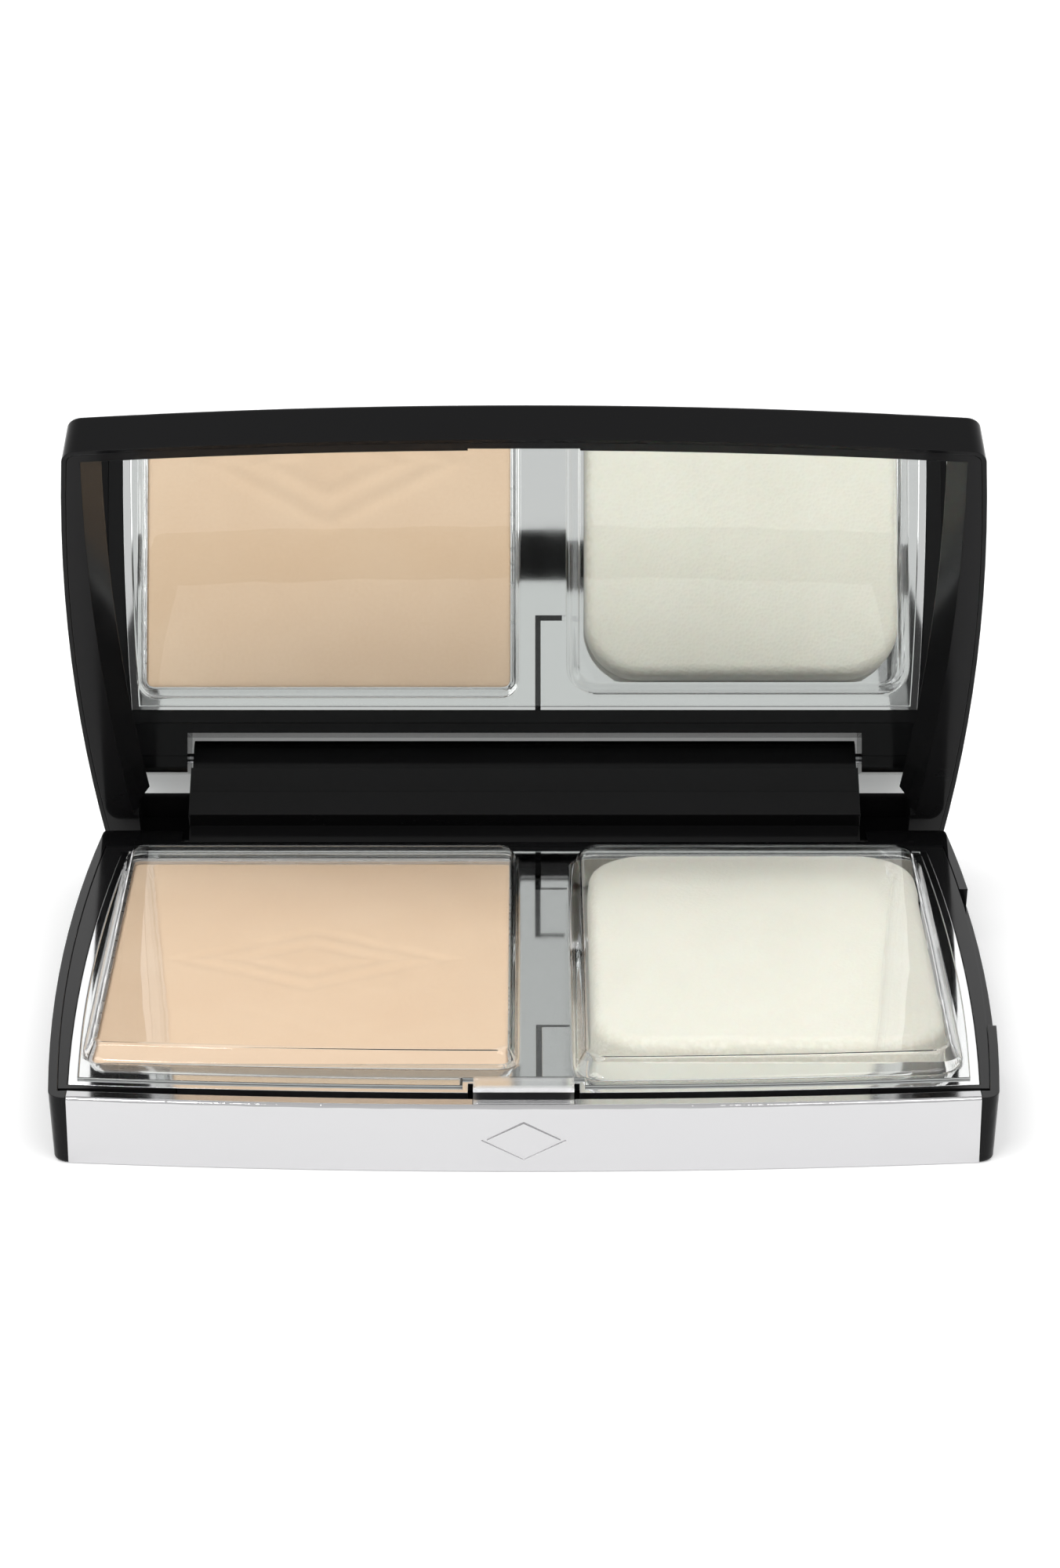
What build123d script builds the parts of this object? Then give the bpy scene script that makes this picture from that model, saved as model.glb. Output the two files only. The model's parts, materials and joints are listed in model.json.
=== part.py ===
from build123d import *
import os
from math import cos, radians, sin

# A slim powder compact, standing open. The case is bowed on its sides and front.
# The left half of the base holds a pan of pressed powder and the right half a sponge,
# under one clear dust cover. The lid carries a mirror and turns on two short pins.
# All sizes are in millimetres. +Z is up, the front faces -Y, and the origin is the
# centre of the underside. Plan positions below are measured from the hinge axis, and
# y is negative towards the front.

# ---- driving dimensions ---------------------------------------------------------------

# Case
case_half = (50.55, 52.0, 49.9)     # half width at the rear, in the middle, at the front
rear_y = 2.0
mid_y = -32.0
front_y = -74.0
front_bow = 2.2             # how far the front face sweeps back at its ends
corner_radius = 1.8
side_draft = 0.35           # how far a side wall leans in between rim and far face
end_draft = 0.25            # the same for the front and rear walls
base_height = 7.8
lid_height = 5.3
closed_gap = 0.1            # between the two rims when shut
hinge_y = 36.0              # the hinge axis behind the origin
hinge_height = 3.2          # the hinge axis above the underside
lid_angle = 57.9            # how far the lid stands open
edge_round = 0.4
cut_past = 1.0              # how far a cut runs on beyond the face that it opens

# Base shell
floor_thickness = 1.2
shell_wall = 1.0
ear_inner_x = 41.1          # the hinge ears reach from here to the side walls
cutout_front_y = -2.8
ledge_wall = 1.2
tray_front_y = -70.3
mouth_half = 48.1           # half length of the gap that the push bar fills
notch_depth = 2.1           # the finger notch in the right wall
notch_front_y = -54.2
notch_rear_y = -17.0

# Chassis and the two decks
fit_gap = 0.05
deck_drop = 0.1             # the decks lie this far below the rim
deck_thickness = 0.8
deck_half = (47.95, 49.2, 48.15)
deck_rear_y = -5.55
deck_front_y = -70.6
deck_bow = 2.0
support_width = 0.6
bulkhead_y = -67.5
bulkhead_thickness = 1.0
bulkhead_half = 48.0
latch_slot_half = 5.9
latch_slot_y = -68.3

# Powder side
pan_left_x = -46.6
pan_right_x = -1.2
pan_rear_y = -8.0
pan_front_y = -63.8
pan_radius = 1.3
pan_depth = 4.0
pan_drop = 0.15
pan_wall = 0.35
pan_clearance = 0.1
cup_wall = 0.7
pad_thickness = 0.15
powder_drop = 0.35
seam_x = 1.3
seam_width = 0.65
tab_x = 5.05
tab_rear_y = -17.2
tab_front_y = -54.0
tab_gap = 0.65

# Sponge side
well_left_x = 5.15
well_right_x = 46.9
well_rear_y = -8.0
well_front_y = -63.1
well_bottom = 1.35
well_wall = 0.6
well_radius = 2.8
sponge_left_x = 7.5
sponge_right_x = 45.6
sponge_rear_y = -9.7
sponge_front_y = -61.4
sponge_rise = 1.9           # how far the sponge stands above the deck
sponge_radius = 6.5

# Clear dust cover
film = 0.2
cover_inset = 0.9
cover_front_y = -69.4
cover_slot_half = 6.6
cover_slot_y = -67.6

# Push bar and latch
bar_half = 48.05
bar_bottom = 0.1
bar_thickness = 1.7
bar_travel = 0.7
fascia_skin = 0.7
leg_x = 38.0
leg_width = 5.0
leg_thickness = 1.3
leg_bottom = 2.1
leg_root_y = -71.4
leg_end_y = -65.6
barb_width = 7.0
window_width = 5.4
spring_x = 20.0
spring_z = 3.6
spring_outer = 2.6
spring_inner = 1.8
spring_seat_y = -71.3
spring_boss = 1.2
spring_pad = 3.6            # the square seat behind each spring
spring_pad_depth = 1.0
boss_length = 0.8
hook_half = 5.3
hook_rear_y = -69.8
hook_front_y = -72.8
hook_blade = 0.7
hook_rise = 1.5
hook_lip = 0.45
hook_plate = 0.5
hook_plate_front_y = -73.5
emblem_width = 9.0
emblem_height = 4.6
emblem_line = 0.32
emblem_depth = 0.2
emblem_z = 3.75

# Lid
lid_skin = 0.5
plate_thickness = 0.9
mirror_thickness = 0.75
mirror_half = (46.9, 48.4, 47.7)
mirror_rear_y = -4.1
mirror_front_y = -71.6
window_half = (45.2, 46.7, 46.1)
window_rear_y = -4.5
window_front_y = -71.2
window_flare = 1.9          # the bezel opens out by this much towards the rim
ear_room_half = 46.5        # the room over the ears reaches from the hinge block to here
rim_front_width = 1.8
rear_wall_y = 0.9
block_half = 40.5
block_radius = 2.15
block_front_y = -2.2
block_rear_y = 1.9
catch_half = 6.05
catch_lip_y = -72.5
catch_pocket_y = -73.05
catch_lip_height = 0.75
catch_pocket_top = 2.2
mirror_pad_margin = 4.5     # bare glass round the pad behind the mirror

# Hinge pins
pin_radius = 0.6
pin_running_gap = 0.04
pin_in_block = 4.0
pin_in_ear = 5.0

# ---- levels and frames ----------------------------------------------------------------

rim_above_hinge = base_height - hinge_height
lid_rim = rim_above_hinge + closed_gap
lid_top = lid_rim + lid_height
plate_inner = lid_top - plate_thickness
mirror_back = plate_inner - pad_thickness
mirror_face = mirror_back - mirror_thickness
deck_top = base_height - deck_drop
deck_bottom = deck_top - deck_thickness
pan_top = deck_top - pan_drop
pan_bottom = pan_top - pan_depth
cup_floor = pan_bottom - pad_thickness

open_angle = radians(lid_angle)
lid_frame = Plane(
    origin=(0, hinge_y, hinge_height),
    x_dir=(1, 0, 0),
    z_dir=(0, sin(open_angle), cos(open_angle)),
)
lid_up = Axis(lid_frame.origin, lid_frame.z_dir)


def base_level(height):
    """A level plane in the base, centred on the hinge axis in plan."""
    return Plane(origin=(0, hinge_y, height))


def lid_level(height):
    """The same kind of plane in the lid, with its height taken from the hinge axis."""
    return lid_frame.offset(height)


def base_side(x):
    """A plane across the base at x: its own x runs back from the hinge, its y is up."""
    return Plane(origin=(x, hinge_y, hinge_height), x_dir=(0, 1, 0), z_dir=(1, 0, 0))


def lid_side(x):
    """The same kind of plane in the lid."""
    corner = lid_frame.origin + Vector(x, 0, 0)
    return Plane(origin=corner, x_dir=lid_frame.y_dir, z_dir=(1, 0, 0))


def base_front(y):
    """A plane that faces the front at y: its own x runs to the right, its y is up."""
    return Plane(origin=(0, hinge_y + y, 0), x_dir=(1, 0, 0), z_dir=(0, -1, 0))


# ---- outlines -------------------------------------------------------------------------


def bowed_outline(halves, rear, front, bow):
    """A face with bowed sides and front, from half widths at its rear, middle and front."""
    rear_half, middle_half, front_half = halves
    ends = front + bow
    with BuildLine() as edge:
        ThreePointArc((rear_half, rear), (middle_half, mid_y), (front_half, ends))
        ThreePointArc((front_half, ends), (0, front), (-front_half, ends))
        ThreePointArc((-front_half, ends), (-middle_half, mid_y), (-rear_half, rear))
        Line((-rear_half, rear), (rear_half, rear))
    make_face(edge.edges())


def case_outline(sketch, side_inset=0.0, end_inset=0.0, radius=corner_radius):
    """Fills the open sketch with the outline of the case, drawn in and rounded."""
    halves = [half - side_inset for half in case_half]
    bowed_outline(halves, rear_y - end_inset, front_y + end_inset, front_bow)
    fillet(sketch.vertices(), radius)


def deck_outline(inset=0.0):
    """Fills the open sketch with the outline of both decks together, drawn in."""
    halves = [half - inset for half in deck_half]
    bowed_outline(halves, deck_rear_y - inset, deck_front_y + inset, deck_bow)


def box_plan(x0, x1, y0, y1, mode=Mode.ADD):
    """A rectangle between two corners."""
    with Locations(((x0 + x1) / 2, (y0 + y1) / 2)):
        Rectangle(x1 - x0, y1 - y0, mode=mode)


def round_plan(x0, x1, y0, y1, radius, grow=0.0, mode=Mode.ADD):
    """A rectangle between two corners, with its corners rounded, grown all round."""
    with Locations(((x0 + x1) / 2, (y0 + y1) / 2)):
        RectangleRounded(x1 - x0 + 2 * grow, y1 - y0 + 2 * grow, radius + grow, mode=mode)


def keep_between(rear, front):
    """Cuts the open sketch off behind rear and ahead of front."""
    width = 4 * case_half[1]
    with Locations((0, (rear + front) / 2)):
        Rectangle(width, rear - front, mode=Mode.INTERSECT)


def front_strip(half, back, face):
    """Fills the open sketch with a strip along the bowed front, from back to face."""
    sweep = front_bow * (half / case_half[2]) ** 2
    with BuildLine() as edge:
        ThreePointArc((-half, face + sweep), (0, face), (half, face + sweep))
        Line((half, face + sweep), (half, back + sweep))
        ThreePointArc((half, back + sweep), (0, back), (-half, back + sweep))
        Line((-half, back + sweep), (-half, face + sweep))
    make_face(edge.edges())


def diamond(width, height, mode):
    """A diamond with its points on the axes, centred on the emblem."""
    points = [(width / 2, 0), (0, height / 2), (-width / 2, 0), (0, -height / 2)]
    with Locations((0, emblem_z)):
        Polygon(*points, mode=mode)


def lean(height, full_height, draft):
    """How far a drafted wall has leaned in at a height below its rim."""
    return draft * height / full_height


def save(builder, name):
    """Labels a finished piece and writes it."""
    builder.part.label = name
    export_step(builder.part, f"parts/{name}.step")


os.makedirs("parts", exist_ok=True)

# ---- base shell -----------------------------------------------------------------------

tray_depth = base_height - floor_thickness
side_lean = lean(tray_depth, base_height, side_draft)
ear_height = rim_above_hinge - fit_gap
with BuildPart() as base_shell:
    with BuildSketch(base_level(0)) as foot:
        case_outline(foot, side_draft, end_draft)
    with BuildSketch(base_level(base_height)) as rim:
        case_outline(rim)
    loft()
    fillet(base_shell.faces().sort_by(Axis.Z)[0].edges(), edge_round)
    # the tray inside
    for level, leaned in ((floor_thickness, side_lean), (base_height, 0)):
        with BuildSketch(base_level(level)) as tray:
            case_outline(tray, shell_wall + leaned, 0, corner_radius / 2)
            keep_between(cutout_front_y - ledge_wall, tray_front_y)
    loft(mode=Mode.SUBTRACT)
    # the mouth that the push bar fills, between the two front cheeks
    with BuildSketch(base_level(0)):
        front_strip(mouth_half, front_y + bar_thickness + bar_travel + 2 * fit_gap, front_y - cut_past)
    extrude(amount=base_height, mode=Mode.SUBTRACT)
    with BuildSketch(base_level(floor_thickness)):
        box_plan(-mouth_half, mouth_half, front_y, tray_front_y)
    extrude(amount=base_height, mode=Mode.SUBTRACT)
    # the opening for the lid's hinge block, and the rounded tops of the ears beside it
    with BuildSketch(base_level(0)):
        box_plan(-ear_inner_x, ear_inner_x, cutout_front_y, rear_y + cut_past)
    extrude(amount=base_height, mode=Mode.SUBTRACT)
    with BuildSketch(base_side(0)):
        box_plan(0, 2 * rear_y, 0, 2 * ear_height)
        Circle(ear_height, mode=Mode.SUBTRACT)
    extrude(amount=case_half[1], both=True, mode=Mode.SUBTRACT)
    # the finger notch in the right wall
    with BuildSketch(base_level(base_height - notch_depth)):
        box_plan(mouth_half, 2 * mouth_half, notch_front_y, notch_rear_y)
    extrude(amount=notch_depth, mode=Mode.SUBTRACT)
    # blind holes for the hinge pins
    for side in (-1, 1):
        with BuildSketch(base_side(side * ear_inner_x)):
            Circle(pin_radius)
        extrude(amount=side * pin_in_ear, mode=Mode.SUBTRACT)
save(base_shell, "base_shell")

# ---- chassis --------------------------------------------------------------------------

chassis_foot = floor_thickness + fit_gap
chassis_front_y = tray_front_y + bar_travel + 2 * fit_gap     # clear of the bar when pressed
with BuildPart() as chassis:
    for level, leaned in ((chassis_foot, side_lean), (deck_top, 0)):
        with BuildSketch(base_level(level)) as frame_plan:
            case_outline(frame_plan, shell_wall + fit_gap + leaned, 0, corner_radius / 2)
            keep_between(cutout_front_y - ledge_wall - fit_gap, chassis_front_y)
    loft()
    # the decks drop into the upper opening and rest on the narrower one below
    with BuildSketch(base_level(deck_bottom)):
        deck_outline(-fit_gap)
    extrude(amount=deck_thickness, mode=Mode.SUBTRACT)
    with BuildSketch(base_level(chassis_foot)):
        deck_outline(support_width)
        open_half = deck_half[2] - support_width
        box_plan(-open_half, open_half, front_y, bulkhead_y)
    extrude(amount=deck_bottom - chassis_foot, mode=Mode.SUBTRACT)
    # the bulkhead across the front, with windows for the slider's legs
    with BuildSketch(base_level(chassis_foot)):
        with Locations((0, bulkhead_y)):
            Rectangle(2 * bulkhead_half, bulkhead_thickness)
    extrude(amount=deck_bottom - fit_gap - chassis_foot)
    with BuildSketch(base_front(bulkhead_y)):
        with Locations((-leg_x, leg_bottom + leg_thickness / 2), (leg_x, leg_bottom + leg_thickness / 2)):
            Rectangle(window_width, leg_thickness + 4 * fit_gap)
    extrude(amount=bulkhead_thickness, both=True, mode=Mode.SUBTRACT)
    # short bosses that hold the springs
    with BuildSketch(base_front(bulkhead_y)):
        with Locations((-spring_x, spring_z), (spring_x, spring_z)):
            Circle(spring_boss / 2)
    extrude(amount=bulkhead_thickness / 2 + boss_length)
save(chassis, "chassis")

# ---- push bar: chrome fascia on a black slider ----------------------------------------

fascia_back_y = front_y + end_draft + fascia_skin
with BuildPart() as bar_fascia:
    with BuildSketch(base_level(bar_bottom)):
        front_strip(bar_half, front_y + bar_thickness, front_y + end_draft)
    with BuildSketch(base_level(base_height)):
        front_strip(bar_half, front_y + bar_thickness, front_y)
    loft()
    top_arcs = bar_fascia.edges().filter_by(GeomType.CIRCLE).group_by(Axis.Z)[-1]
    fillet(top_arcs.sort_by(Axis.Y)[0], edge_round)
    # hollow at the back for the slider, which also clears the floor of the shell
    with BuildSketch(base_level(floor_thickness)):
        front_strip(bar_half - fascia_skin, front_y + bar_thickness + cut_past, fascia_back_y)
    extrude(amount=base_height - floor_thickness - fascia_skin, mode=Mode.SUBTRACT)
    # the seat of the latch hook
    with BuildSketch(base_level(base_height)):
        box_plan(-hook_half - fit_gap, hook_half + fit_gap, hook_plate_front_y, hook_rear_y)
    extrude(amount=-hook_plate, mode=Mode.SUBTRACT)
    # a plain diamond outline pressed into the middle of the face
    with BuildSketch(base_front(front_y + end_draft / 2 + emblem_depth)):
        diamond(emblem_width, emblem_height, Mode.ADD)
        diamond(
            emblem_width - 2 * emblem_line * emblem_width / emblem_height,
            emblem_height - 2 * emblem_line,
            Mode.SUBTRACT,
        )
    extrude(amount=cut_past, mode=Mode.SUBTRACT)
save(bar_fascia, "bar_fascia")

slider_bottom = floor_thickness + fit_gap
slider_top = base_height - fascia_skin - fit_gap
with BuildPart() as bar_slider:
    with BuildSketch(base_level(slider_bottom)):
        front_strip(
            bar_half - fascia_skin - fit_gap, front_y + bar_thickness, fascia_back_y + fit_gap
        )
    extrude(amount=slider_top - slider_bottom)
    for side in (-1, 1):
        # a leg with a barbed end, which stops the bar against the bulkhead
        with BuildSketch(base_level(leg_bottom)):
            box_plan(
                side * leg_x - leg_width / 2, side * leg_x + leg_width / 2, leg_root_y, leg_end_y
            )
            barb_front_y = bulkhead_y + bulkhead_thickness / 2 + fit_gap
            box_plan(
                side * leg_x - barb_width / 2, side * leg_x + barb_width / 2, barb_front_y, leg_end_y
            )
        extrude(amount=leg_thickness)
        # a flat seat and a boss for the spring
        with BuildSketch(base_front(spring_seat_y)):
            with Locations((side * spring_x, spring_z)):
                Rectangle(spring_pad, spring_pad)
        extrude(amount=spring_pad_depth)
        with BuildSketch(base_front(spring_seat_y)):
            with Locations((side * spring_x, spring_z)):
                Circle(spring_boss / 2)
        extrude(amount=-boss_length)
    # room for the latch hook's stem
    with BuildSketch(base_level(slider_top)):
        box_plan(-hook_half, hook_half, front_y, deck_front_y)
    extrude(amount=-2 * hook_plate, mode=Mode.SUBTRACT)
save(bar_slider, "bar_slider")

for side, name in ((-1, "bar_spring_left"), (1, "bar_spring_right")):
    bulkhead_face_y = bulkhead_y - bulkhead_thickness / 2
    with BuildPart() as bar_spring:
        with BuildSketch(base_front(bulkhead_face_y - fit_gap)):
            with Locations((side * spring_x, spring_z)):
                Circle(spring_outer / 2)
                Circle(spring_inner / 2, mode=Mode.SUBTRACT)
        extrude(amount=bulkhead_face_y - spring_seat_y - 2 * fit_gap)
    save(bar_spring, name)

# the hook's profile, seen from the side: a plate on the bar, a blade and a forward lip
with BuildPart() as latch_hook:
    with BuildSketch(base_side(-hook_half)):
        top = rim_above_hinge + hook_rise
        box_plan(
            hook_plate_front_y + fit_gap, hook_rear_y, rim_above_hinge - hook_plate, rim_above_hinge
        )
        box_plan(hook_rear_y - hook_blade, hook_rear_y, rim_above_hinge - hook_plate, top)
        box_plan(hook_front_y, hook_rear_y, top - hook_lip, top)
    extrude(amount=2 * hook_half)
    along = latch_hook.edges().filter_by(Axis.X)
    fillet(along.group_by(Axis.Z)[-1], hook_lip / 3)
save(latch_hook, "latch_hook")

# ---- powder side ----------------------------------------------------------------------

pan_plan = (pan_left_x, pan_right_x, pan_front_y, pan_rear_y, pan_radius)
with BuildPart() as powder_cassette:
    # a cup under the deck
    with BuildSketch(base_level(cup_floor - cup_wall)):
        round_plan(*pan_plan, grow=cup_wall)
    extrude(amount=deck_bottom - cup_floor + cup_wall)
    # the left deck, with its tab
    with BuildSketch(base_level(deck_bottom)):
        deck_outline(fit_gap)
        box_plan(seam_x, 2 * case_half[1], 2 * front_y, 0, mode=Mode.SUBTRACT)
        box_plan(seam_x - cut_past, tab_x, tab_front_y, tab_rear_y)
        box_plan(-latch_slot_half, latch_slot_half, 2 * front_y, latch_slot_y, mode=Mode.SUBTRACT)
    extrude(amount=deck_thickness)
    with BuildSketch(base_level(cup_floor)):
        round_plan(*pan_plan)
    extrude(amount=base_height, mode=Mode.SUBTRACT)
save(powder_cassette, "powder_cassette")

with BuildPart() as pan_adhesive:
    with BuildSketch(base_level(cup_floor)):
        round_plan(*pan_plan, grow=-pan_radius / 2)
    extrude(amount=pad_thickness)
save(pan_adhesive, "pan_adhesive")

with BuildPart() as powder_pan:
    with BuildSketch(base_level(pan_bottom)):
        round_plan(*pan_plan, grow=-pan_clearance)
    extrude(amount=pan_depth)
    with BuildSketch(base_level(pan_bottom + pan_wall)):
        round_plan(*pan_plan, grow=-pan_clearance - pan_wall)
    extrude(amount=pan_depth, mode=Mode.SUBTRACT)
save(powder_pan, "powder_pan")

with BuildPart() as pressed_powder:
    with BuildSketch(base_level(pan_bottom + pan_wall)):
        round_plan(*pan_plan, grow=-pan_clearance - pan_wall)
    extrude(amount=deck_top - powder_drop - pan_bottom - pan_wall)
    chamfer(pressed_powder.faces().sort_by(Axis.Z)[-1].edges(), powder_drop / 2)
save(pressed_powder, "pressed_powder")

# ---- sponge side ----------------------------------------------------------------------

well_plan = (well_left_x, well_right_x, well_front_y, well_rear_y, well_radius)
well_floor = well_bottom + well_wall
with BuildPart() as sponge_tray:
    with BuildSketch(base_level(well_bottom)):
        round_plan(*well_plan, grow=well_wall)
    extrude(amount=deck_bottom - well_bottom)
    # the wall stays under the cassette's tab
    with BuildSketch(base_level(deck_bottom - fit_gap)):
        box_plan(
            well_left_x - 2 * well_wall, well_left_x, tab_front_y - tab_gap, tab_rear_y + tab_gap
        )
    extrude(amount=fit_gap, mode=Mode.SUBTRACT)
    with BuildSketch(base_level(deck_bottom)):
        deck_outline(fit_gap)
        box_plan(-2 * case_half[1], seam_x + seam_width, 2 * front_y, 0, mode=Mode.SUBTRACT)
        box_plan(0, well_left_x, tab_front_y - tab_gap, tab_rear_y + tab_gap, mode=Mode.SUBTRACT)
        box_plan(-latch_slot_half, latch_slot_half, 2 * front_y, latch_slot_y, mode=Mode.SUBTRACT)
    extrude(amount=deck_thickness)
    with BuildSketch(base_level(well_floor)):
        round_plan(*well_plan)
    extrude(amount=base_height, mode=Mode.SUBTRACT)
save(sponge_tray, "sponge_tray")

with BuildPart() as sponge:
    with BuildSketch(base_level(well_floor + fit_gap)):
        round_plan(sponge_left_x, sponge_right_x, sponge_front_y, sponge_rear_y, sponge_radius)
    extrude(amount=deck_top + sponge_rise - well_floor - fit_gap)
    fillet(sponge.faces().sort_by(Axis.Z)[-1].edges(), sponge_rise)
    fillet(sponge.faces().sort_by(Axis.Z)[0].edges(), sponge_rise / 2)
save(sponge, "sponge")

# ---- clear dust cover -----------------------------------------------------------------

# Each dome: left, right, front and rear edge at its foot, corner radius, wall lean, rise
domes = (
    (-47.3, -0.6, -65.4, -6.8, 1.6, 0.9, 1.9),
    (5.3, 46.9, -68.1, -7.3, 2.6, 1.1, 2.25),
)
cover_bottom = deck_top + fit_gap / 2


def dome_outline(sketch, edges, radius, inset):
    """Fills the open sketch with a dome's outline, which also follows the bowed front."""
    left, right, front, rear = edges
    bowed_outline([half - inset for half in deck_half], rear_y, front + inset, deck_bow)
    box_plan(left + inset, right - inset, front, rear - inset, mode=Mode.INTERSECT)
    fillet(sketch.vertices(), radius - inset / 2)


with BuildPart() as clear_cover:
    with BuildSketch(base_level(cover_bottom)):
        halves = [half - cover_inset for half in deck_half]
        bowed_outline(halves, deck_rear_y - cover_inset / 2, cover_front_y, deck_bow)
        box_plan(-cover_slot_half, cover_slot_half, 2 * front_y, cover_slot_y, mode=Mode.SUBTRACT)
    extrude(amount=film)
    for left, right, front, rear, radius, wall_lean, rise in domes:
        edges = (left, right, front, rear)
        for shrink, top_drop, mode in ((0, 0, Mode.ADD), (film, film, Mode.SUBTRACT)):
            with BuildSketch(base_level(cover_bottom)) as dome_foot:
                dome_outline(dome_foot, edges, radius, shrink)
            with BuildSketch(base_level(cover_bottom + rise - top_drop)) as dome_top:
                dome_outline(dome_top, edges, radius, shrink + wall_lean)
            loft(mode=mode)
save(clear_cover, "clear_cover")

# ---- hinge pins -----------------------------------------------------------------------

for side, name in ((-1, "hinge_pin_left"), (1, "hinge_pin_right")):
    with BuildPart() as hinge_pin:
        with BuildSketch(base_side(side * (block_half - pin_in_block))):
            Circle(pin_radius)
        extrude(amount=side * (ear_inner_x + pin_in_ear - block_half + pin_in_block))
        chamfer(hinge_pin.edges().filter_by(GeomType.CIRCLE), pin_radius / 4)
    save(hinge_pin, name)

# ---- lid shell ------------------------------------------------------------------------

cavity_height = plate_inner - lid_rim
cavity_side_lean = lean(cavity_height, lid_height, side_draft)
cavity_end_lean = lean(cavity_height, lid_height, end_draft)
with BuildPart() as lid_shell:
    with BuildSketch(lid_level(lid_rim)) as rim:
        case_outline(rim)
    with BuildSketch(lid_level(lid_top)) as top_plan:
        case_outline(top_plan, side_draft, end_draft)
    loft()
    fillet(lid_shell.faces().sort_by(lid_up)[-1].edges(), edge_round)
    inner_radius = corner_radius - lid_skin
    with BuildSketch(lid_level(lid_rim)) as cavity:
        case_outline(cavity, lid_skin, lid_skin, inner_radius)
        keep_between(rear_wall_y, front_y)
    with BuildSketch(lid_level(plate_inner)) as cavity:
        case_outline(
            cavity, lid_skin + cavity_side_lean, lid_skin + cavity_end_lean, inner_radius
        )
        keep_between(rear_wall_y, front_y)
    loft(mode=Mode.SUBTRACT)
save(lid_shell, "lid_shell")

# ---- mirror frame, with the hinge block -----------------------------------------------

frame_skin = lid_skin + fit_gap
frame_back = plate_inner - fit_gap
with BuildPart() as mirror_frame:
    with BuildSketch(lid_level(lid_rim)) as ring:
        case_outline(ring, frame_skin, frame_skin, inner_radius)
        keep_between(rear_wall_y - fit_gap, front_y)
    with BuildSketch(lid_level(frame_back)) as ring:
        case_outline(
            ring, frame_skin + cavity_side_lean, frame_skin + cavity_end_lean, inner_radius
        )
        keep_between(rear_wall_y - fit_gap, front_y)
    loft()
    # the window in front of the mirror, flared towards the rim
    with BuildSketch(lid_level(lid_rim)):
        halves = [half + window_flare for half in window_half]
        bowed_outline(halves, window_rear_y, front_y + rim_front_width, deck_bow)
    with BuildSketch(lid_level(mirror_face)):
        bowed_outline(window_half, window_rear_y, window_front_y, deck_bow)
    loft(mode=Mode.SUBTRACT)
    # the pocket that the mirror lies in
    with BuildSketch(lid_level(mirror_face)):
        halves = [half + fit_gap for half in mirror_half]
        bowed_outline(halves, mirror_rear_y + fit_gap, mirror_front_y - fit_gap, deck_bow)
    extrude(amount=lid_height, mode=Mode.SUBTRACT)
    # clearance over the ears, on each side of the hinge block
    with BuildSketch(lid_level(lid_rim)):
        for side in (-1, 1):
            middle = side * (block_half + ear_room_half) / 2
            half = (ear_room_half - block_half) / 2
            box_plan(middle - half, middle + half, window_rear_y - cut_past, rear_y)
    extrude(amount=mirror_face - lid_rim, mode=Mode.SUBTRACT)
    # the hinge block hangs down into the base
    with BuildSketch(lid_side(-block_half)):
        Circle(block_radius)
        box_plan(block_front_y, block_rear_y, 0, lid_rim)
        box_plan(block_rear_y, 2 * block_rear_y, -block_radius, lid_rim, mode=Mode.SUBTRACT)
    extrude(amount=2 * block_half)
    with BuildSketch(lid_side(-block_half)):
        box_plan(block_front_y, rear_wall_y - fit_gap, lid_rim - fit_gap, mirror_face)
    extrude(amount=2 * block_half)
    for side in (-1, 1):
        with BuildSketch(lid_side(side * block_half)):
            Circle(pin_radius + pin_running_gap)
        extrude(amount=-side * (pin_in_block + 4 * fit_gap), mode=Mode.SUBTRACT)
    # the pocket behind the front lip, which the latch hook enters
    with BuildSketch(lid_side(-catch_half)):
        box_plan(catch_lip_y, window_front_y + cut_past, lid_rim, lid_rim + catch_pocket_top)
        box_plan(
            catch_pocket_y,
            window_front_y + cut_past,
            lid_rim + catch_lip_height,
            lid_rim + catch_pocket_top,
        )
    extrude(amount=2 * catch_half, mode=Mode.SUBTRACT)
save(mirror_frame, "mirror_frame")

# ---- mirror ---------------------------------------------------------------------------

with BuildPart() as mirror_glass:
    with BuildSketch(lid_level(mirror_face)):
        bowed_outline(mirror_half, mirror_rear_y, mirror_front_y, deck_bow)
    extrude(amount=mirror_thickness)
save(mirror_glass, "mirror_glass")

with BuildPart() as mirror_adhesive:
    with BuildSketch(lid_level(mirror_back)):
        halves = [half - mirror_pad_margin for half in mirror_half]
        pad_rear_y = mirror_rear_y - mirror_pad_margin
        pad_front_y = mirror_front_y + mirror_pad_margin
        bowed_outline(halves, pad_rear_y, pad_front_y, deck_bow)
    extrude(amount=pad_thickness)
save(mirror_adhesive, "mirror_adhesive")
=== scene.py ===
import json
import math

import bpy
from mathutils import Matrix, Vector, noise


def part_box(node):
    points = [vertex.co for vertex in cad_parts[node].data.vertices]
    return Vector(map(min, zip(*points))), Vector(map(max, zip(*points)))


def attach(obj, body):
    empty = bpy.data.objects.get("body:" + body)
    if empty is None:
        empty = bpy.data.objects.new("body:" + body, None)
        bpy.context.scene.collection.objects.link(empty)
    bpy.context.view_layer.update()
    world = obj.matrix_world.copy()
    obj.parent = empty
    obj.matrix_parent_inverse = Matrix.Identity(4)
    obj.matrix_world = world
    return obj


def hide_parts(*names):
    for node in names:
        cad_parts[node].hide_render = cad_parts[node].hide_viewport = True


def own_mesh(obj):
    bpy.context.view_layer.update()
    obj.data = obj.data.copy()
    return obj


# The looks of a slim powder compact. The case, decks, bar and mirror are the packed
# model's own pieces with better materials. The sponge, powder cake, clear cover and
# springs are built here, because their real surfaces aren't plain solids.
# Everything is in metres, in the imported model's frame.

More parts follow.
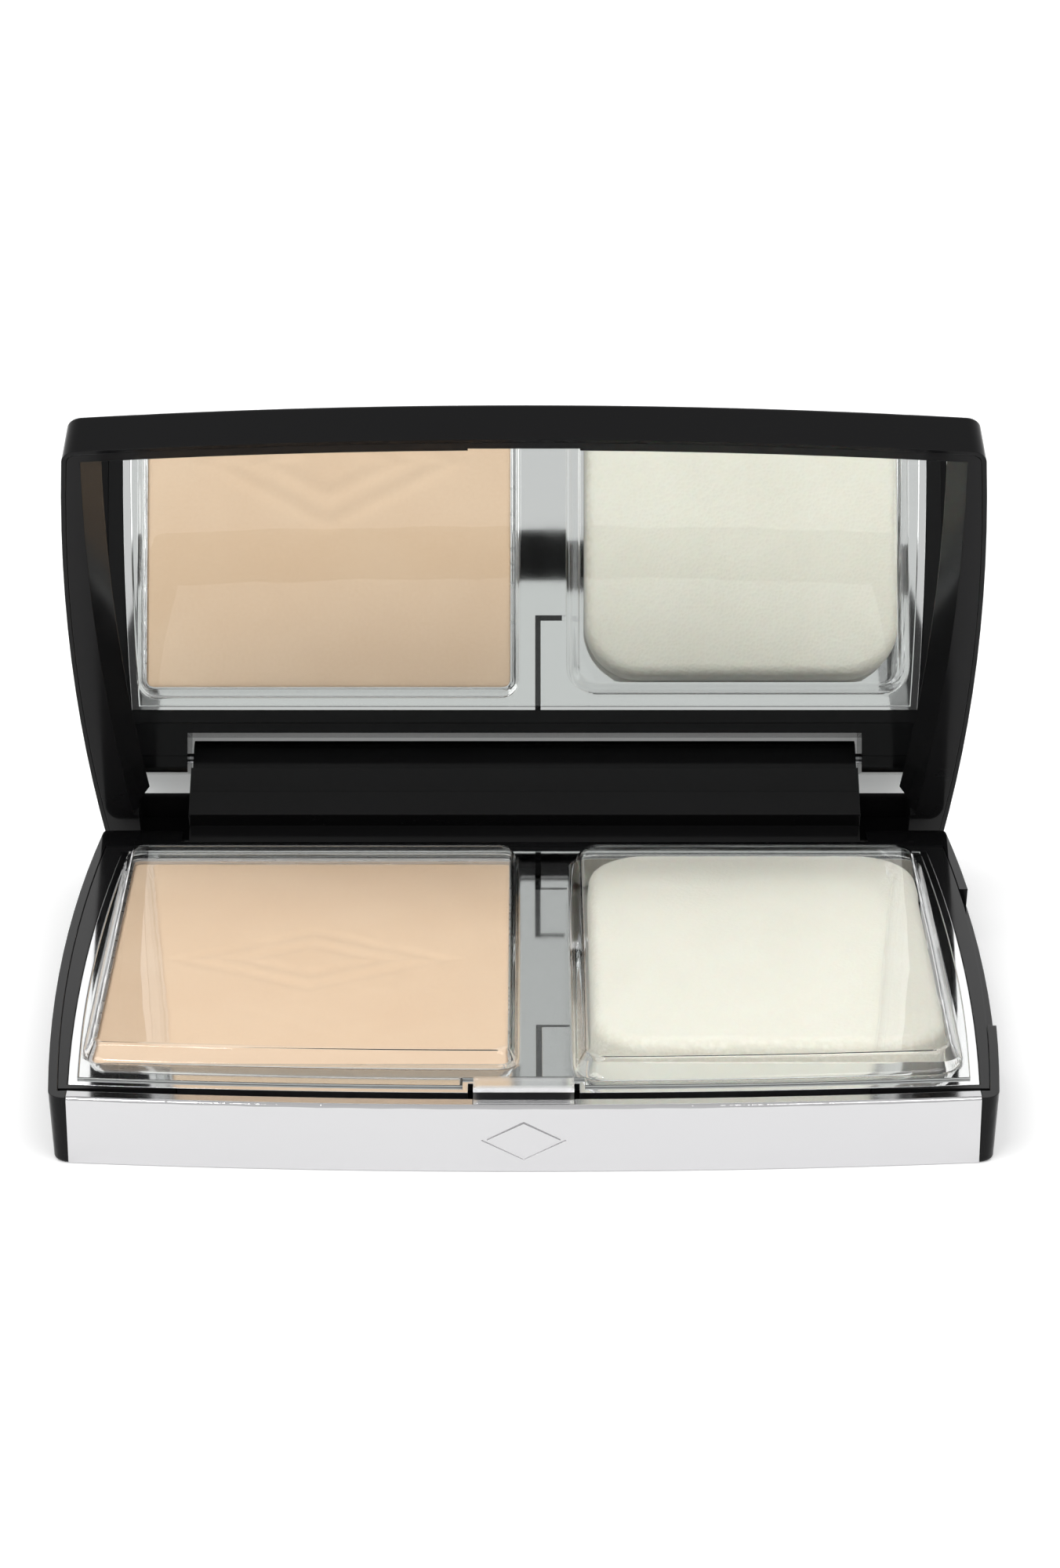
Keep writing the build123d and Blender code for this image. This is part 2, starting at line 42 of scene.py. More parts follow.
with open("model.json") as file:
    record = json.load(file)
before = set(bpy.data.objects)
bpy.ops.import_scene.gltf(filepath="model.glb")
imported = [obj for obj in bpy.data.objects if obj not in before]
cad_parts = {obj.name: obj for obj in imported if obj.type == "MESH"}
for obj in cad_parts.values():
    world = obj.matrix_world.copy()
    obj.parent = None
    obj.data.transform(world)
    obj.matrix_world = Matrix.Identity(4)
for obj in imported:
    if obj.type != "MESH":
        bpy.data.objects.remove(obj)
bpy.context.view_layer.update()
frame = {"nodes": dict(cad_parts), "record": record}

MM = 0.001

# ---- sizes ----------------------------------------------------------------------------

# Clear cover: a thin vacuum-formed sheet with two domes
film = 0.2 * MM
cover_half = (47.05 * MM, 48.3 * MM, 47.25 * MM)     # half width at rear, middle, front
cover_bow = 2.0 * MM
cover_slot_half = 6.6 * MM
cover_slot_depth = 1.8 * MM
dome_margin_side = 0.8 * MM         # how far the powder dome stands outside its pan
dome_margin_rear = 1.2 * MM
dome_margin_front = 1.6 * MM
powder_dome_rise = 1.9 * MM
powder_dome_radius = 2.4 * MM
powder_dome_lean = 1.2 * MM
sponge_dome_gap = (2.2 * MM, 1.3 * MM, 6.7 * MM, 2.4 * MM)   # left, right, front, rear
sponge_dome_rise = 2.25 * MM
sponge_dome_radius = 3.6 * MM
sponge_dome_lean = 1.5 * MM
fine_step = 0.2 * MM
coarse_step = 0.5 * MM
fine_reach = 1.7 * MM
film_wave = 0.015 * MM
film_wave_scale = 160.0

# Powder cake
cake_step = 0.35 * MM
cake_edge = 0.5 * MM
cake_edge_drop = 0.35               # how far the rim of the cake sinks, as a share of its edge
cake_radius = 0.85 * MM
cake_unevenness = 0.015 * MM
cake_uneven_scale = 300.0
motif_width = 29.0 * MM
motif_height = 15.0 * MM
motif_line = 1.6 * MM
motif_depth = 0.16 * MM
motif_scales = (1.0, 0.52)

# Sponge
sponge_corner = 6.5 * MM
sponge_crown = 0.35 * MM
sponge_round = 1.5 * MM
sponge_foot_round = 0.8 * MM
sponge_bulge = 0.15 * MM
sponge_points = 208
foot_steps = 5                      # rings of the mesh round the foot, up the side, over
side_steps = 8                      # the shoulder and across the top
shoulder_steps = 8
top_steps = 22
corner_shrink = 0.6                 # how fast the corners tighten towards the middle
least_corner = 0.2 * MM
sponge_fuzz = 0.05 * MM
sponge_fuzz_scale = 1400.0

# Latch hook
hook_lip = 0.45 * MM
hook_roll = 1.1 * MM                # how far the shine rolls over the hook's edges
mouth_inset = 0.5 * MM              # how far behind the lip's face the painted shade in its mouth starts
mouth_fade = 0.2 * MM
hook_front_inset = 1.0 * MM         # the lip stands this far behind the bar's front

# Bar springs
wire = 0.4 * MM
spring_turns = 5
points_per_turn = 20
wire_sides = 8


# ---- node helpers ---------------------------------------------------------------------


class Look:
    """One procedural material, with short ways to add its nodes."""

    def __init__(self, name):
        self.material = bpy.data.materials.new(name)
        self.material.use_nodes = True
        self.nodes = self.material.node_tree.nodes
        self.links = self.material.node_tree.links
        self.shader = self.nodes["Principled BSDF"]
        self.output = self.nodes["Material Output"]
        place = self.nodes.new("ShaderNodeTexCoord")
        self.place = place.outputs["Object"]

    def noise(self, scale, detail=3.0, roughness=0.5, stretch=None):
        place = self.place
        if stretch:
            mapping = self.nodes.new("ShaderNodeMapping")
            mapping.inputs["Scale"].default_value = stretch
            self.links.new(self.place, mapping.inputs["Vector"])
            place = mapping.outputs["Vector"]
        node = self.nodes.new("ShaderNodeTexNoise")
        node.inputs["Scale"].default_value = scale
        node.inputs["Detail"].default_value = detail
        node.inputs["Roughness"].default_value = roughness
        self.links.new(place, node.inputs["Vector"])
        return node.outputs["Fac"]

    def cells(self, scale):
        node = self.nodes.new("ShaderNodeTexVoronoi")
        node.inputs["Scale"].default_value = scale
        self.links.new(self.place, node.inputs["Vector"])
        return node.outputs["Distance"]

    def spread(self, value, low, high, start=0.3, end=0.7):
        """Maps a texture's middle range onto low to high."""
        node = self.nodes.new("ShaderNodeMapRange")
        node.inputs["From Min"].default_value = start
        node.inputs["From Max"].default_value = end
        node.inputs["To Min"].default_value = low
        node.inputs["To Max"].default_value = high
        self.links.new(value, node.inputs["Value"])
        return node.outputs["Result"]

    def blend(self, value, first, second):
        """A colour between two, by a texture."""
        node = self.nodes.new("ShaderNodeMix")
        node.data_type = "RGBA"
        node.inputs[6].default_value = (*first, 1.0)
        node.inputs[7].default_value = (*second, 1.0)
        self.links.new(value, node.inputs[0])
        return node.outputs[2]

    def calculate(self, operation, first, second):
        node = self.nodes.new("ShaderNodeMath")
        node.operation = operation
        self.links.new(first, node.inputs[0])
        self.links.new(second, node.inputs[1])
        return node.outputs["Value"]

    def add(self, first, second):
        return self.calculate("ADD", first, second)

    def times(self, first, second):
        return self.calculate("MULTIPLY", first, second)

    def parts_of(self, vector):
        node = self.nodes.new("ShaderNodeSeparateXYZ")
        self.links.new(vector, node.inputs["Vector"])
        return node.outputs

    def facing_up(self):
        """1 on level faces and 0 on upright ones."""
        node = self.nodes.new("ShaderNodeNewGeometry")
        return self.parts_of(node.outputs["Normal"])["Z"]

    def soft_edges(self, radius):
        """A shading normal that rounds off sharp edges."""
        node = self.nodes.new("ShaderNodeBevel")
        node.samples = 4
        node.inputs["Radius"].default_value = radius
        return node.outputs["Normal"]

    def bump(self, height, distance, strength=1.0, normal=None):
        node = self.nodes.new("ShaderNodeBump")
        node.inputs["Strength"].default_value = strength
        node.inputs["Distance"].default_value = distance
        self.links.new(height, node.inputs["Height"])
        if normal:
            self.links.new(normal, node.inputs["Normal"])
        self.links.new(node.outputs["Normal"], self.shader.inputs["Normal"])

    def set(self, **values):
        for name, value in values.items():
            socket = self.shader.inputs[name.replace("_", " ")]
            if isinstance(value, bpy.types.NodeSocket):
                self.links.new(value, socket)
            else:
                socket.default_value = value


def gloss_black(name, tint, smooth, rough, edge, index):
    """Moulded black plastic: a deep gloss with faint handling marks and flow lines."""
    look = Look(name)
    smears = look.noise(90.0, detail=5.0, roughness=0.6, stretch=(1.0, 0.45, 1.0))
    shade = look.noise(25.0)
    look.set(
        Base_Color=look.blend(shade, tint, [1.6 * part for part in tint]),
        Roughness=look.spread(smears, smooth, rough),
        IOR=index,
    )
    look.bump(look.noise(420.0, detail=2.0), 0.004 * MM, normal=look.soft_edges(edge))
    return look.material


def plated(name, tint, smooth, rough, edge):
    """Bright plating on moulded plastic, with the gentle waviness of the plastic below."""
    look = Look(name)
    look.set(
        Metallic=1.0,
        Base_Color=look.blend(look.noise(40.0), tint, [0.96 * part for part in tint]),
        Roughness=look.spread(look.noise(150.0, detail=5.0), smooth, rough),
    )
    look.bump(look.noise(70.0, detail=2.0), 0.006 * MM, normal=look.soft_edges(edge))
    return look.material


def hook_plating_with_painted_shade():
    """The bar's plating, rolled over the hook's edges, rougher in its mouth and darkened there
    with painted shade.
    """
    look = Look("hook_plate_painted_shade")
    hook_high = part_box("latch_hook")[1]
    plate_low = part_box("bar_fascia")[0]
    place = look.parts_of(look.place)
    mouth_front = plate_low[1] + hook_front_inset + mouth_inset
    mouth_top = hook_high[2] - hook_lip
    behind = look.spread(place["Y"], 0.0, 1.0, start=mouth_front, end=mouth_front + mouth_fade)
    under = look.spread(place["Z"], 1.0, 0.0, start=mouth_top - mouth_fade / 2, end=mouth_top)
    # painted shade: the base colour goes dark inside the hook's mouth, behind and under its lip
    painted_mouth_shade = look.times(behind, under)
    look.set(
        Metallic=1.0,
        Base_Color=look.blend(painted_mouth_shade, (0.93, 0.93, 0.935), (0.17, 0.17, 0.175)),
        Roughness=look.spread(painted_mouth_shade, 0.07, 0.4, start=0.0, end=1.0),
    )
    look.bump(look.noise(70.0, detail=2.0), 0.006 * MM, normal=look.soft_edges(hook_roll))
    return look.material


def drawn_metal(name, tint, smooth, rough, stretch):
    """Satin metal with fine lines along one direction."""
    look = Look(name)
    lines = look.noise(900.0, detail=4.0, stretch=stretch)
    look.set(
        Metallic=1.0,
        Base_Color=look.blend(lines, tint, [0.85 * part for part in tint]),
        Roughness=look.spread(lines, smooth, rough),
    )
    look.bump(lines, 0.006 * MM)
    return look.material


def dull_plastic(name, tint, grain):
    """Matt moulded plastic or pad, with a fine even grain."""
    look = Look(name)
    speckle = look.noise(grain, detail=4.0)
    look.set(
        Base_Color=look.blend(speckle, tint, [0.8 * part for part in tint]),
        Roughness=look.spread(speckle, 0.45, 0.7),
    )
    look.bump(speckle, 0.02 * MM)
    return look.material


def powder_look():
    """Pressed powder: matt, very fine grained, with faint mottling and a few dark grains."""
    look = Look("powder")
    pale = (0.800, 0.597, 0.426)
    deep = (0.750, 0.538, 0.370)
    mottle = look.add(
        look.spread(look.noise(110.0, detail=6.0), 0.0, 0.5),
        look.spread(look.noise(2600.0, detail=2.0), 0.0, 0.45),
    )
    look.set(Base_Color=look.blend(mottle, pale, deep), Roughness=0.88)
    look.set(Sheen_Weight=0.12, Sheen_Roughness=0.5, Specular_IOR_Level=0.25)
    look.bump(look.noise(3400.0, detail=3.0, roughness=0.7), 0.02 * MM, strength=0.6)
    return look.material


def foam_look():
    """Soft latex foam: creamy white, with tiny closed cells and a velvety face."""
    look = Look("sponge_foam")
    pale = (0.83, 0.802, 0.712)
    deep = (0.757, 0.725, 0.63)
    cells = look.cells(2300.0)
    # the cut sides show coarser open cells than the skinned top
    side = look.spread(look.facing_up(), 1.0, 0.0, start=0.45, end=0.95)
    open_cells = look.spread(look.cells(1100.0), 0.0, 1.6, start=0.3, end=0.7)
    mottle = look.add(
        look.spread(look.noise(160.0, detail=5.0), 0.0, 0.4),
        look.spread(cells, 0.4, 0.0, start=0.0, end=0.6),
    )
    mottle = look.add(mottle, look.times(side, open_cells))
    look.set(Base_Color=look.blend(mottle, pale, deep), Roughness=0.95)
    look.set(Sheen_Weight=0.35, Sheen_Roughness=0.45, Specular_IOR_Level=0.15)
    look.set(Subsurface_Weight=0.15, Subsurface_Scale=0.8 * MM)
    look.bump(cells, 0.06 * MM, strength=0.7)
    return look.material


def film_look():
    """Clear formed sheet. Light from lamps passes it, so what lies below stays lit."""
    look = Look("clear_film")
    look.set(
        Base_Color=(0.985, 0.992, 0.988, 1.0),
        Roughness=look.spread(look.noise(120.0), 0.0, 0.02),
        IOR=1.46,
        Transmission_Weight=1.0,
    )
    look.bump(look.noise(170.0, detail=2.0), 0.004 * MM)
    path = look.nodes.new("ShaderNodeLightPath")
    clear = look.nodes.new("ShaderNodeBsdfTransparent")
    clear.inputs["Color"].default_value = (0.94, 0.95, 0.945, 1.0)
    either = look.nodes.new("ShaderNodeMixShader")
    look.links.new(path.outputs["Is Shadow Ray"], either.inputs[0])
    look.links.new(look.shader.outputs["BSDF"], either.inputs[1])
    look.links.new(clear.outputs["BSDF"], either.inputs[2])
    look.links.new(either.outputs["Shader"], look.output.inputs["Surface"])
    return look.material


def film_edge_look():
    """The sheet's cut edge, which is whitened by the trimming and looks pale."""
    look = Look("film_edge")
    look.set(
        Base_Color=look.blend(look.noise(600.0), (0.80, 0.82, 0.81), (0.70, 0.72, 0.71)),
        Roughness=0.35,
        Alpha=0.55,
    )
    return look.material


def mirror_look():
    """Silvered glass, with the faintest haze and a few specks of dust."""
    look = Look("mirror_silver")
    look.set(
        Metallic=1.0,
        Base_Color=look.blend(look.noise(30.0), (0.90, 0.915, 0.905), (0.88, 0.895, 0.885)),
        Roughness=look.spread(look.noise(700.0, detail=4.0), 0.0, 0.03, start=0.62, end=0.8),
    )
    return look.material


black = (0.0035, 0.0035, 0.0038)
soft_black = (0.0065, 0.0065, 0.0068)
looks = {
    "black_case": gloss_black("black_case", black, 0.05, 0.13, 0.12 * MM, 1.24),
    "black_inner": gloss_black("black_inner", soft_black, 0.08, 0.18, 0.08 * MM, 1.22),
    "black_slider": dull_plastic("black_slider", (0.03, 0.03, 0.032), 900.0),
    "chrome_plate": plated("chrome_plate", (0.94, 0.94, 0.945), 0.03, 0.07, 0.08 * MM),
    "bar_plate": plated("bar_plate", (0.645, 0.642, 0.65), 0.04, 0.09, 0.08 * MM),
    "hook_plate_painted_shade": hook_plating_with_painted_shade(),
    "pin_steel": drawn_metal("pin_steel", (0.55, 0.55, 0.57), 0.2, 0.35, (0.05, 1.0, 1.0)),
    "spring_steel": drawn_metal("spring_steel", (0.6, 0.6, 0.62), 0.2, 0.4, (1.0, 1.0, 0.1)),
    "pan_metal": drawn_metal("pan_metal", (0.78, 0.78, 0.79), 0.22, 0.38, (0.1, 1.0, 1.0)),
    "adhesive_pad": dull_plastic("adhesive_pad", (0.8, 0.8, 0.78), 1500.0),
    "mirror_silver": mirror_look(),
    "powder": powder_look(),
    "sponge_foam": foam_look(),
    "clear_film": film_look(),
}

# The imported pieces take the look of their own slot. The bar and the hook share a slot with the
# decks, but have platings of their own; the hook's carries painted shade in its mouth.
own_looks = {"bar_fascia": "bar_plate", "latch_hook": "hook_plate_painted_shade"}
for part in frame["record"]["subparts"]:
    node = frame["nodes"][part["node"]]
    look_name = own_looks.get(part["node"], part["material_slot"])
    for index in range(len(node.material_slots)):
        node.material_slots[index].material = looks[look_name]


# ---- mesh helpers ---------------------------------------------------------------------


def piece(name, points, faces, look, body, smooth=True):
    """A new mesh object that rides on a body."""
    mesh = bpy.data.meshes.new(name)
    mesh.from_pydata([tuple(point) for point in points], [], faces)
    mesh.update()
    for polygon in mesh.polygons:
        polygon.use_smooth = smooth
    thing = bpy.data.objects.new(name, mesh)
    bpy.context.scene.collection.objects.link(thing)
    mesh.materials.append(looks[look])
    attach(thing, body)
    return thing


def smooth_step(value):
    value = min(max(value, 0.0), 1.0)
    return value * value * (3.0 - 2.0 * value)


def depth_inside(x, y, edges, radius):
    """How far a point lies inside a rounded rectangle; negative outside."""
    left, right, front, rear = edges
    across = abs(x - (left + right) / 2) - (right - left) / 2 + radius
    along = abs(y - (front + rear) / 2) - (rear - front) / 2 + radius
    outside = math.hypot(max(across, 0.0), max(along, 0.0))
    return radius - outside - min(max(across, along), 0.0)


def graded_lines(start, end, fine_places):
    """Places from start to end, close together near the fine places."""
    lines = {start, end}
    place = start
    while place < end:
        lines.add(place)
        near = any(abs(place - fine) < fine_reach for fine in fine_places)
        place += fine_step if near else coarse_step
    return sorted(lines)


def rounded_loop(edges, radius, count):
    """Points evenly spread by angle round a rounded rectangle, anticlockwise."""
    left, right, front, rear = edges
    radius = min(radius, (right - left) / 2, (rear - front) / 2)
    corners = (
        (right - radius, rear - radius, 0.0),
        (left + radius, rear - radius, 0.5),
        (left + radius, front + radius, 1.0),
        (right - radius, front + radius, 1.5),
    )
    per_corner = count // 4
    arc = per_corner // 2
    points = []
    for number, (x, y, start) in enumerate(corners):
        for step in range(arc):
            angle = math.pi * (start + 0.5 * step / (arc - 1))
            points.append((x + radius * math.cos(angle), y + radius * math.sin(angle)))
        following = corners[(number + 1) % 4]
        angle = math.pi * following[2]
        goal = (
            following[0] + radius * math.cos(angle),
            following[1] + radius * math.sin(angle),
        )
        last = points[-1]
        straight = per_corner - arc
        for step in range(1, straight + 1):
            share = step / (straight + 1)
            points.append(
                (last[0] + share * (goal[0] - last[0]), last[1] + share * (goal[1] - last[1]))
            )
    return points


# ---- clear cover ----------------------------------------------------------------------

cover_low, cover_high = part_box("clear_cover")
pan_low, pan_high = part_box("powder_pan")
pad_low, pad_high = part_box("sponge")
powder_dome = (
    pan_low[0] - dome_margin_side,
    pan_high[0] + dome_margin_side,
    pan_low[1] - dome_margin_front,
    pan_high[1] + dome_margin_rear,
)
gap_left, gap_right, gap_front, gap_rear = sponge_dome_gap
sponge_dome = (
    pad_low[0] - gap_left,
    pad_high[0] + gap_right,
    pad_low[1] - gap_front,
    pad_high[1] + gap_rear,
)
domes = (
    (powder_dome, powder_dome_radius, powder_dome_lean, powder_dome_rise),
    (sponge_dome, sponge_dome_radius, sponge_dome_lean, sponge_dome_rise),
)


def cover_height(x, y):
    """How high the sheet's upper face stands above its underside at a point."""
    height = film
    for edges, radius, wall, rise in domes:
        left, right, front, rear_edge = edges
        sweep = cover_bow * (x / cover_half[2]) ** 2
        bowed = (left, right, front + sweep, rear_edge)
        share = smooth_step(depth_inside(x, y, bowed, radius) / wall)
        height = max(height, film + share * (rise - film))
    wave = noise.noise(Vector((x, y, 0.0)) * film_wave_scale)
    return height - film_wave * (0.5 + 0.5 * wave) * (height > 1.5 * film)


def cover_half_width(along):
    """The sheet's half width, from 0 at its rear to 1 at its front."""
    rear_half, middle_half, front_half = cover_half
    ends = rear_half + (front_half - rear_half) * along
    bulge = middle_half - (rear_half + front_half) / 2
    return ends + 4.0 * bulge * along * (1.0 - along)


rear = cover_high[1]
depth = rear - cover_low[1]
middle = cover_half[1]
x_lines = graded_lines(-middle, middle, [edge for dome in domes for edge in dome[0][:2]])
y_lines = graded_lines(0.0, depth, [rear - edge for dome in domes for edge in dome[0][2:]])
x_lines = sorted(set(x_lines) | {-cover_slot_half, cover_slot_half})
y_lines = sorted(set(y_lines) | {depth - cover_slot_depth})
points = []
for down in y_lines:
    along = down / depth
    for across in x_lines:
        x = across / middle * cover_half_width(along)
        sweep = cover_bow * (across / middle) ** 2 * smooth_step((along - 0.5) * 2.0)
        y = rear - down + sweep
        points.append((x, y, cover_low[2] + cover_height(x, y)))
columns = len(x_lines)
faces = []
for row in range(len(y_lines) - 1):
    for column in range(columns - 1):
        in_slot = (
            abs(x_lines[column] + x_lines[column + 1]) / 2 < cover_slot_half
            and (y_lines[row] + y_lines[row + 1]) / 2 > depth - cover_slot_depth
        )
        if not in_slot:
            first = row * columns + column
            faces.append((first, first + columns, first + columns + 1, first + 1))
used = sorted({index for face in faces for index in face})
order = {index: number for number, index in enumerate(used)}
points = [points[index] for index in used]
faces = [tuple(order[index] for index in face) for face in faces]
cover = piece("dust_cover", points, faces, "clear_film", "base")
thickness = cover.modifiers.new("thickness", "SOLIDIFY")
thickness.thickness = film
thickness.offset = -1.0
cover.data.materials.append(film_edge_look())
thickness.material_offset_rim = 1
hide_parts("clear_cover")

# ---- powder cake ----------------------------------------------------------------------

cake_low, cake_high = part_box("pressed_powder")
cake_edges = (cake_low[0], cake_high[0], cake_low[1], cake_high[1])
cake_middle = ((cake_low[0] + cake_high[0]) / 2, (cake_low[1] + cake_high[1]) / 2)


def motif(x, y):
    """A plain pattern of nested diamonds, from 0 outside its lines to 1 on them."""
    mark = 0.0
    for scale in motif_scales:
        half_width = scale * motif_width / 2
        half_height = scale * motif_height / 2
        away = abs(x - cake_middle[0]) / half_width + abs(y - cake_middle[1]) / half_height - 1.0
        reach = away * half_width * half_height / math.hypot(half_width, half_height)
        mark = max(mark, 1.0 - smooth_step(abs(reach) / motif_line))
    return mark


def cake_top(x, y):
    """The height of the pressed face at a point."""
    edge = depth_inside(x, y, cake_edges, cake_radius)
    drop = cake_edge * cake_edge_drop * (1.0 - smooth_step(edge / cake_edge))
    rough = cake_unevenness * noise.noise(Vector((x, y, 0.0)) * cake_uneven_scale)
    return cake_high[2] - drop - cake_unevenness + rough - motif_depth * motif(x, y)


across_count = int((cake_high[0] - cake_low[0]) / cake_step)
along_count = int((cake_high[1] - cake_low[1]) / cake_step)
points = []
for row in range(along_count + 1):
    for column in range(across_count + 1):
        x = cake_low[0] + (cake_high[0] - cake_low[0]) * column / across_count
        y = cake_low[1] + (cake_high[1] - cake_low[1]) * row / along_count
        corner_x = max(abs(x - cake_middle[0]) - (cake_high[0] - cake_middle[0] - cake_radius), 0)
        corner_y = max(abs(y - cake_middle[1]) - (cake_high[1] - cake_middle[1] - cake_radius), 0)
        out = math.hypot(corner_x, corner_y)
        if corner_x > 0 and corner_y > 0 and out > cake_radius:
            pull = 1.0 - cake_radius / out
            x -= math.copysign(corner_x * pull, x - cake_middle[0])
            y -= math.copysign(corner_y * pull, y - cake_middle[1])
        points.append((x, y, cake_top(x, y)))
wide = across_count + 1
faces = []
for row in range(along_count):
    for column in range(across_count):
        first = row * wide + column
        faces.append((first, first + 1, first + wide + 1, first + wide))
border = list(range(wide))
border += [row * wide + across_count for row in range(1, along_count + 1)]
border += [along_count * wide + column for column in range(across_count - 1, -1, -1)]
border += [row * wide for row in range(along_count - 1, 0, -1)]
foot = len(points)
for index in border:
    points.append((points[index][0], points[index][1], cake_low[2]))
for number in range(len(border)):
    following = (number + 1) % len(border)
    faces.append((border[number], foot + number, foot + following, border[following]))
faces.append(tuple(range(foot + len(border) - 1, foot - 1, -1)))
cake = piece("powder_cake", points, faces, "powder", "base")
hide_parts("pressed_powder")

# ---- sponge ---------------------------------------------------------------------------

foot_level = pad_low[2]
top_level = pad_high[2] - sponge_crown
loops = []
for step in range(foot_steps + 1):
    angle = math.pi / 2 * step / foot_steps
    inset = sponge_foot_round * (1.0 - math.sin(angle))
    loops.append((inset, foot_level + sponge_foot_round * (1.0 - math.cos(angle))))
side_low = foot_level + sponge_foot_round
side_high = top_level - sponge_round
for step in range(1, side_steps):
    share = step / side_steps
    inset = -sponge_bulge * math.sin(math.pi * share)
    loops.append((inset, side_low + share * (side_high - side_low)))
for step in range(shoulder_steps + 1):
    angle = math.pi / 2 * step / shoulder_steps
    inset = sponge_round * (1.0 - math.cos(angle))
    loops.append((inset, side_high + sponge_round * math.sin(angle)))
half_depth = (pad_high[0] - pad_low[0]) / 2
for step in range(1, top_steps):
    inset = sponge_round + (half_depth - sponge_round) * step / top_steps
    swell = math.sin(math.pi / 2 * step / top_steps)
    loops.append((inset, top_level + sponge_crown * swell))
points = []
for inset, level in loops:
    edges = (
        pad_low[0] + inset,
        pad_high[0] - inset,
        pad_low[1] + inset,
        pad_high[1] - inset,
    )
    radius = max(sponge_corner - inset * corner_shrink, least_corner)
    for x, y in rounded_loop(edges, radius, sponge_points):
        fuzz = sponge_fuzz * noise.noise(Vector((x, y, level)) * sponge_fuzz_scale)
        points.append((x, y, level + fuzz))
faces = []
for ring in range(len(loops) - 1):
    for number in range(sponge_points):
        following = (number + 1) % sponge_points
        low = ring * sponge_points
        high = low + sponge_points
        faces.append((low + number, low + following, high + following, high + number))
faces.append(tuple(range(sponge_points - 1, -1, -1)))
last = (len(loops) - 1) * sponge_points
faces.append(tuple(range(last, last + sponge_points)))
pad = piece("foam_sponge", points, faces, "sponge_foam", "base")
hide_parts("sponge")

# ---- springs behind the bar -----------------------------------------------------------

for side in ("left", "right"):
    low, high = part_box(f"bar_spring_{side}")
    centre_x = (low[0] + high[0]) / 2
    centre_z = (low[2] + high[2]) / 2
    coil = (high[0] - low[0]) / 2 - wire / 2
    length = high[1] - low[1] - wire
    total = spring_turns * points_per_turn
    points = []
    for step in range(total + 1):
        angle = 2.0 * math.pi * step / points_per_turn
        share = step / total
        along = low[1] + wire / 2 + length * share
        for corner in range(wire_sides):
            around = 2.0 * math.pi * corner / wire_sides
            reach = coil + wire / 2 * math.cos(around)
            points.append(
                (
                    centre_x + reach * math.cos(angle),
                    along + wire / 2 * math.sin(around),
                    centre_z + reach * math.sin(angle),
                )
            )
    faces = []
    for step in range(total):
        for corner in range(wire_sides):
            following = (corner + 1) % wire_sides
            first = step * wire_sides
            faces.append(
                (
                    first + corner,
                    first + wire_sides + corner,
                    first + wire_sides + following,
                    first + following,
                )
            )
    faces.append(tuple(range(wire_sides)))
    end = total * wire_sides
    faces.append(tuple(range(end + wire_sides - 1, end - 1, -1)))
    spring = piece(f"coil_spring_{side}", points, faces, "spring_steel", "base")
    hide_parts(f"bar_spring_{side}")
    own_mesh(spring)

# ---- floor, light and camera ----------------------------------------------------------

floor_half = 3.0
floor_mesh = bpy.data.meshes.new("studio_floor")
floor_mesh.from_pydata(
    [
        (-floor_half, -floor_half, 0.0),
        (floor_half, -floor_half, 0.0),
        (floor_half, floor_half, 0.0),
        (-floor_half, floor_half, 0.0),
    ],
    [],
    [(0, 1, 2, 3)],
)
floor = bpy.data.objects.new("studio_floor", floor_mesh)
bpy.context.scene.collection.objects.link(floor)
sweep_glow = 0.19                   # the white sweep is lit a little from below
floor_look = Look("studio_floor")
floor_look.set(
    Base_Color=floor_look.blend(floor_look.noise(3.0), (0.97, 0.97, 0.97), (0.955, 0.955, 0.955)),
    Roughness=0.9,
    Emission_Color=(1.0, 1.0, 1.0, 1.0),
    Emission_Strength=sweep_glow,
)
floor_mesh.materials.append(floor_look.material)


def far_lamp(name, azimuth, elevation, strength, spread):
    """An even lamp, softer the wider it spreads. Azimuth 0 is the front, 90 the right."""
    lamp = bpy.data.lights.new(name, "SUN")
    lamp.energy = strength
    lamp.angle = math.radians(spread)
    thing = bpy.data.objects.new(name, lamp)
    turn, rise = math.radians(azimuth), math.radians(elevation)
    source = Vector(
        (math.sin(turn) * math.cos(rise), -math.cos(turn) * math.cos(rise), math.sin(rise))
    )
    thing.rotation_euler = (-source).to_track_quat("-Z", "Y").to_euler()
    bpy.context.scene.collection.objects.link(thing)


soft_spread = 38.0
far_lamp("left_light", -52.0, 52.0, 0.72, soft_spread)
far_lamp("right_light", 48.0, 56.0, 0.57, soft_spread)
# a small bright lamp, for crisp glints along the cover and the case
far_lamp("glint_light", -24.0, 62.0, 0.14, 6.0)

